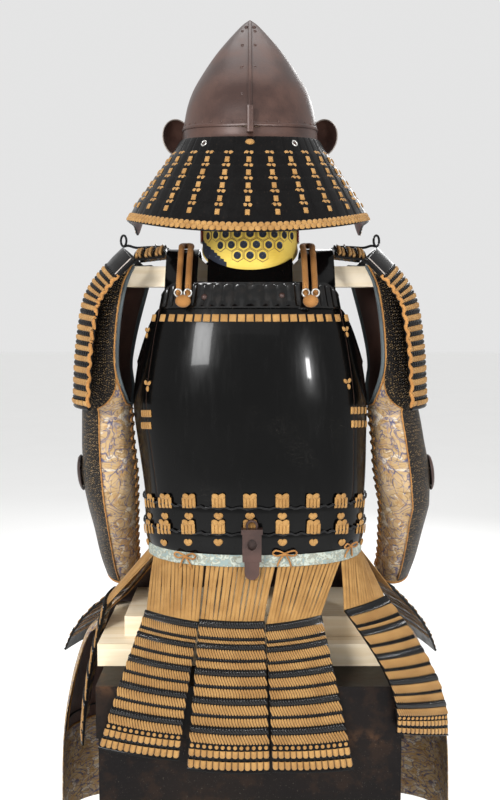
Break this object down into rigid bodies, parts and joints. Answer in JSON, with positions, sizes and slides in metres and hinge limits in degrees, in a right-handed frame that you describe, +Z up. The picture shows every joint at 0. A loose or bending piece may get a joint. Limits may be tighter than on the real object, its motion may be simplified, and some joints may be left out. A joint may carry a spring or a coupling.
{
  "type": "samurai armour on a wooden stand and lacquered chest",
  "caption": "Suit of black lacquered samurai armour laced in gold braid, with helmet, sleeves, tassets and apron, on a plain wooden stand over its black storage chest.",
  "frame": {"origin": "middle of the underside of the chest, on the floor", "axes": "+Z up; +Y the way the armour faces; +X towards its right arm"},
  "size_m": [0.7361, 0.5228, 1.506],
  "materials": {
    "chest": "worn black lacquer over wood, semi-gloss, brown where rubbed",
    "wood": "pale planed softwood, matte",
    "russet": "russet-brown patinated iron, soft gloss",
    "iron": "dark brown patinated iron",
    "lacquer": "mirror-gloss black lacquer with light scratches",
    "black_scale": "black lacquered scale lames",
    "laced_scale": "gold flat braid laced over black lacquered lames",
    "gold_braid": "golden-orange plaited silk braid",
    "black_cord": "black silk cord",
    "yellow_cloth": "yellow quilted cloth in raised hexagons",
    "sash": "pale blue patterned woven belt",
    "brocade": "cream brocade with blue and brown scrolls",
    "mail": "black iron mail sewn to cloth",
    "lining": "dark brown plain lining",
    "red_lacquer": "dark red lacquer"
  },
  "bodies": {
    "root": {"chest_body": "chest", "chest_lid": "chest", "stand_plank": "wood", "stand_board": "wood", "helmet_bowl": "russet", "helmet_band": "russet", "helmet_seam_strip": "russet", "helmet_peak": "russet", "neck_guard_lame_1": "black_scale", "neck_guard_lame_2": "black_scale", "neck_guard_lame_3": "black_scale", "neck_guard_lame_4": "black_scale", "neck_guard_lame_5": "black_scale", "turned_plate_left": "russet", "turned_plate_right": "russet", "back_plate": "lacquer", "front_plate": "lacquer", "side_plate_left": "lacquer", "side_plate_right": "lacquer", "back_top_plate": "lacquer", "waist_lame_1": "lacquer", "waist_lame_2": "lacquer", "waist_belt": "sash", "collar": "yellow_cloth", "shoulder_yoke": "lacquer", "shoulder_strap_left": "lacquer", "shoulder_strap_right": "lacquer", "stand_post": "wood", "stand_bar": "wood", "tasset_rear_left": "laced_scale", "tasset_rear": "laced_scale", "tasset_rear_right": "laced_scale", "tasset_right_rear": "laced_scale", "tasset_right_front": "laced_scale", "tasset_front_right": "laced_scale", "tasset_left_side": "laced_scale", "tasset_left_front": "laced_scale", "tasset_front_left": "laced_scale", "suspension_braids": "gold_braid", "shoulder_guard_left": "laced_scale", "shoulder_wing_left": "laced_scale", "guard_cord_left": "black_cord", "shoulder_guard_right": "laced_scale", "shoulder_wing_right": "laced_scale", "guard_cord_right": "black_cord", "sleeve_left": "brocade", "mail_panel_left": "mail", "sleeve_right": "brocade", "mail_panel_right": "mail", "apron_panel_left": "brocade", "apron_lining_left": "lining", "apron_panel_right": "brocade", "apron_lining_right": "lining", "cheek_guard": "red_lacquer", "throat_guard": "laced_scale", "shoulder_cord_left": "gold_braid", "shoulder_cord_right": "gold_braid", "waist_socket": "iron"}
  },
  "joints": []
}
